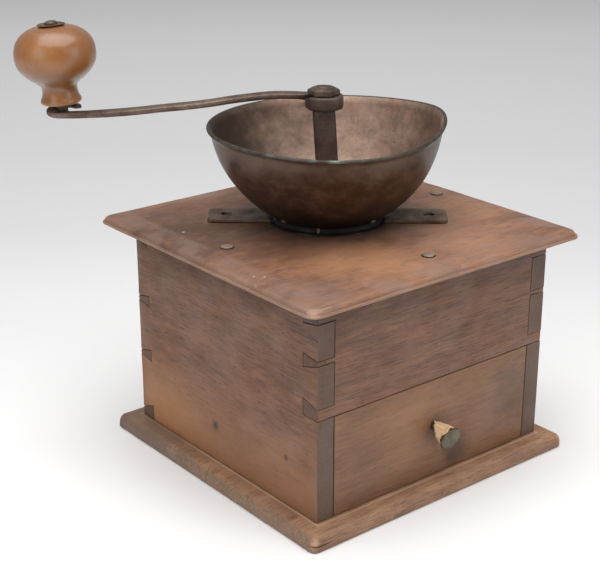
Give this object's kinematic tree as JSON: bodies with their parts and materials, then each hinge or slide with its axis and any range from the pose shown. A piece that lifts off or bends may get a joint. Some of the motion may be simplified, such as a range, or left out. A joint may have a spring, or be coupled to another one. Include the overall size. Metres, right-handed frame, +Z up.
{
  "type": "hand crank coffee grinder",
  "caption": "Box coffee mill: dovetailed wooden case with a drawer, open metal bowl hopper, burr mill inside and an iron crank with a turned wooden knob.",
  "frame": {"origin": "centre of the case on the underside of the base, on the surface that the grinder stands on", "axes": "+Z up along the mill's shaft, +X to the right of someone facing the drawer, -Y out through the drawer front"},
  "size_m": [0.2348, 0.2182, 0.2461],
  "materials": {
    "case_wood": "worn waxed walnut, satin, darker in the corners",
    "top_wood": "worn waxed walnut, rubbed lighter, satin",
    "base_wood": "worn walnut, dull satin",
    "drawer_wood": "unfinished pine, dull",
    "knob_wood": "turned fruitwood, polished by use",
    "copper": "brown patinated copper, satin, green at the rim",
    "wrought_iron": "forged iron, brown patina, satin",
    "dark_iron": "forged iron, near black, dull",
    "bright_iron": "worn bright iron",
    "brass": "tarnished brass, grey green, satin",
    "packing": "pale dry skin or paper, ragged, matte"
  },
  "bodies": {
    "case": {"base_board_front": "base_wood", "base_board_rear": "base_wood", "case_side_left": "case_wood", "case_side_right": "case_wood", "front_rail": "case_wood", "back_board": "case_wood", "top_board": "top_wood", "top_nail_left": "wrought_iron", "top_nail_front": "wrought_iron", "top_nail_right": "wrought_iron", "top_nail_back": "wrought_iron", "base_nail_1": "wrought_iron", "base_nail_2": "wrought_iron", "base_nail_3": "wrought_iron", "base_nail_4": "wrought_iron", "mounting_strap": "wrought_iron", "strap_nail_1": "dark_iron", "strap_nail_2": "dark_iron", "foot_ring": "dark_iron", "hopper_bowl": "copper", "bowl_rivet_1": "bright_iron", "bowl_rivet_2": "bright_iron", "bowl_rivet_3": "bright_iron", "outer_burr": "dark_iron", "hanger_leg_1": "dark_iron", "hanger_leg_2": "dark_iron", "leg_nut_1": "dark_iron", "leg_nut_2": "dark_iron", "lower_bridge": "dark_iron", "lock_nut": "dark_iron"},
    "step_bearing": {"step_bearing": "bright_iron"},
    "adjusting_screw": {"adjusting_screw": "bright_iron"},
    "crank": {"mill_shaft": "wrought_iron", "inner_burr": "bright_iron", "burr_pin": "bright_iron", "crank_arm": "wrought_iron", "crank_nut": "dark_iron", "knob_spindle": "wrought_iron", "knob_rove": "wrought_iron"},
    "crank_knob": {"crank_knob": "knob_wood"},
    "drawer": {"drawer_front": "case_wood", "drawer_side_left": "drawer_wood", "drawer_side_right": "drawer_wood", "drawer_back": "drawer_wood", "drawer_bottom": "drawer_wood", "drawer_brad_1": "wrought_iron", "drawer_brad_2": "wrought_iron", "drawer_brad_3": "wrought_iron", "drawer_brad_4": "wrought_iron", "drawer_brad_5": "wrought_iron", "drawer_brad_6": "wrought_iron", "drawer_brad_7": "wrought_iron", "drawer_brad_8": "wrought_iron", "drawer_knob": "brass", "knob_packing": "packing", "drawer_knob_nut": "wrought_iron"}
  },
  "joints": [
    {"name": "drawer_slide", "type": "slide", "parent": "case", "child": "drawer", "axis": [0, -1, 0], "range_m": [0, 0.12]},
    {"name": "grind_adjust", "type": "slide", "parent": "case", "child": "step_bearing", "axis": [0, 0, 1], "range_m": [0, 0.0008]},
    {"name": "screw_turn", "type": "hinge", "parent": "step_bearing", "child": "adjusting_screw", "pos_m": [-0.004, 0.005, 0.08], "axis": [0, 0, 1], "range_deg": [0, 235]},
    {"name": "crank_turn", "type": "hinge", "parent": "step_bearing", "child": "crank", "pos_m": [-0.004, 0.005, 0.15], "axis": [0, 0, 1], "continuous": true},
    {"name": "knob_spin", "type": "hinge", "parent": "crank", "child": "crank_knob", "pos_m": [-0.11645, 0.09606, 0.1976], "axis": [-0.0556, 0.045, 0.9974], "continuous": true}
  ],
  "couplings": [
    {"joint": "screw_turn", "follows": "grind_adjust", "rad_per_m": 5026.5}
  ]
}
